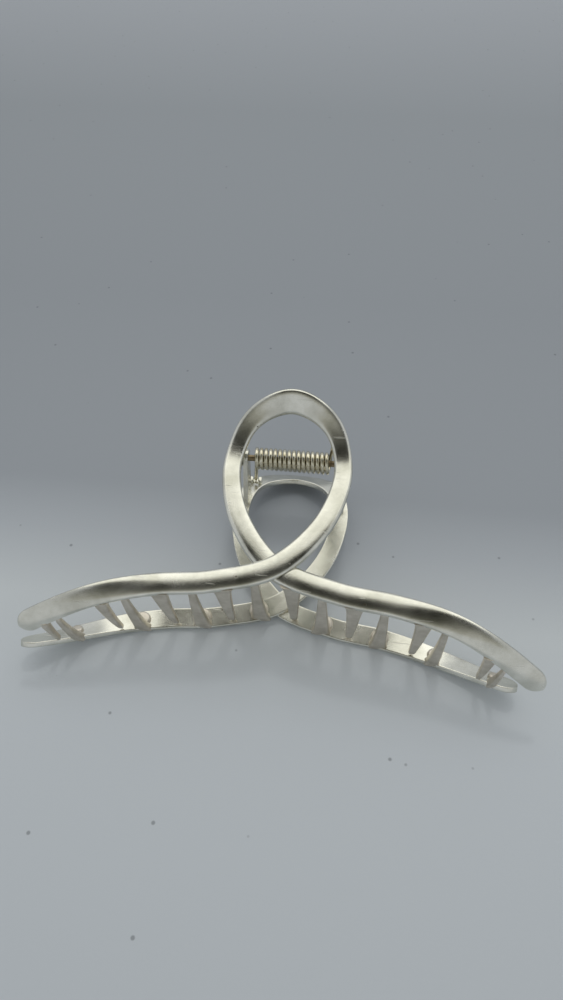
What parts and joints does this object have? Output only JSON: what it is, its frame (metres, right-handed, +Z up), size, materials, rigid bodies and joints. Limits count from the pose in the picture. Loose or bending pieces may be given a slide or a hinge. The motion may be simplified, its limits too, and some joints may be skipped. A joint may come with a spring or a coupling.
{
  "type": "hair claw clip",
  "caption": "Sprung metal hair claw: two equal ribbon castings, each a crossed handle loop with a long pair of clawed arms, hinged on one pin.",
  "frame": {"origin": "centre of the bottom of the closed clip's bounding box, on the surface it lies on", "axes": "+X along the hinge pin and the arms, +Y from the mouth to the handles, +Z up from the surface the clip lies on"},
  "size_m": [0.1088, 0.0604, 0.0381],
  "materials": {
    "plated_zinc": "satin silver plating on die-cast zinc alloy",
    "pin_steel": "drawn wire with a brown oxide tint",
    "spring_steel": "bright nickel-plated spring wire"
  },
  "bodies": {
    "lower": {"lower_jaw": "plated_zinc", "hinge_pin": "pin_steel", "torsion_spring": "spring_steel"},
    "upper": {"upper_jaw": "plated_zinc"}
  },
  "joints": [
    {"name": "hinge", "type": "hinge", "parent": "lower", "child": "upper", "pos_m": [0, 0.02002, 0.018], "axis": [-1, 0, 0], "range_deg": [0, 65], "stiffness_Nm_per_rad": 0.08, "springref_deg": -45.84, "deforming": ["torsion_spring"]}
  ]
}
